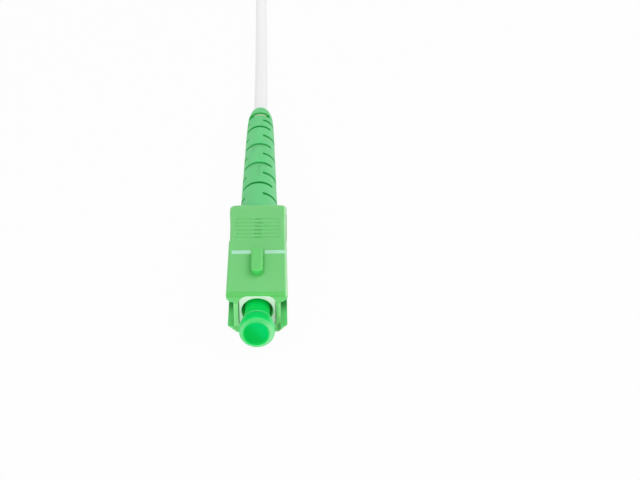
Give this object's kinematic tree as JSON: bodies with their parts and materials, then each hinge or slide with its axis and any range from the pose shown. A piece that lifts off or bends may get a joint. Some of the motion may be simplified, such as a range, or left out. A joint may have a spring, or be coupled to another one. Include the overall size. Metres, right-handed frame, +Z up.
{
  "type": "sc fibre connector",
  "caption": "Push-pull SC fibre connector with angled ceramic ferrule, sprung ferrule, dust cap, slit boot and a short hank of white jacketed cable.",
  "frame": {"origin": "middle of the housing's flat underside, on the table", "axes": "+Y from the dust cap back along the cable, +X across the plug, +Z up through the key"},
  "size_m": [0.0364, 0.1857, 0.0114],
  "materials": {
    "housing_green": "satin moulded polymer",
    "frame_white": "satin moulded polymer",
    "ferrule_ceramic": "polished zirconia",
    "plated_metal": "nickel plated, turned",
    "guide_tube": "smooth extruded tube",
    "spring_steel": "drawn stainless wire",
    "glass_fibre": "bare silica glass",
    "fibre_buffer": "tight buffer coat",
    "aramid_yarn": "flat bundle of aramid filaments",
    "boot_green": "soft moulded elastomer",
    "cap_green": "glossy soft vinyl",
    "cable_white": "smooth extruded jacket",
    "tie_strap": "woven hook-and-loop strap"
  },
  "bodies": {
    "plug_core": {"plug_frame": "frame_white", "rear_body": "plated_metal", "crimp_sleeve": "plated_metal", "aramid_yarn": "aramid_yarn", "strain_relief_boot": "boot_green", "cable_run": "cable_white", "cable_hank": "cable_white", "hank_tie_left": "tie_strap", "hank_tie_right": "tie_strap"},
    "housing": {"outer_housing": "housing_green"},
    "ferrule_group": {"ferrule": "ferrule_ceramic", "ferrule_collar": "plated_metal", "fibre_guide_tube": "guide_tube", "glass_fibre": "glass_fibre", "fibre_buffer": "fibre_buffer", "ferrule_spring": "spring_steel"},
    "cap": {"dust_cap": "cap_green"}
  },
  "joints": [
    {"name": "housing_slide", "type": "slide", "parent": "plug_core", "child": "housing", "axis": [0, 1, 0], "range_m": [0, 0.0015]},
    {"name": "ferrule_float", "type": "slide", "parent": "plug_core", "child": "ferrule_group", "axis": [0, 1, 0], "range_m": [0, 0.0008], "stiffness_N_per_m": 1500, "springref_m": -0.004, "deforming": ["ferrule_spring"]},
    {"name": "dust_cap_pull", "type": "slide", "parent": "ferrule_group", "child": "cap", "axis": [0, -1, 0], "range_m": [0, 0.012]}
  ]
}
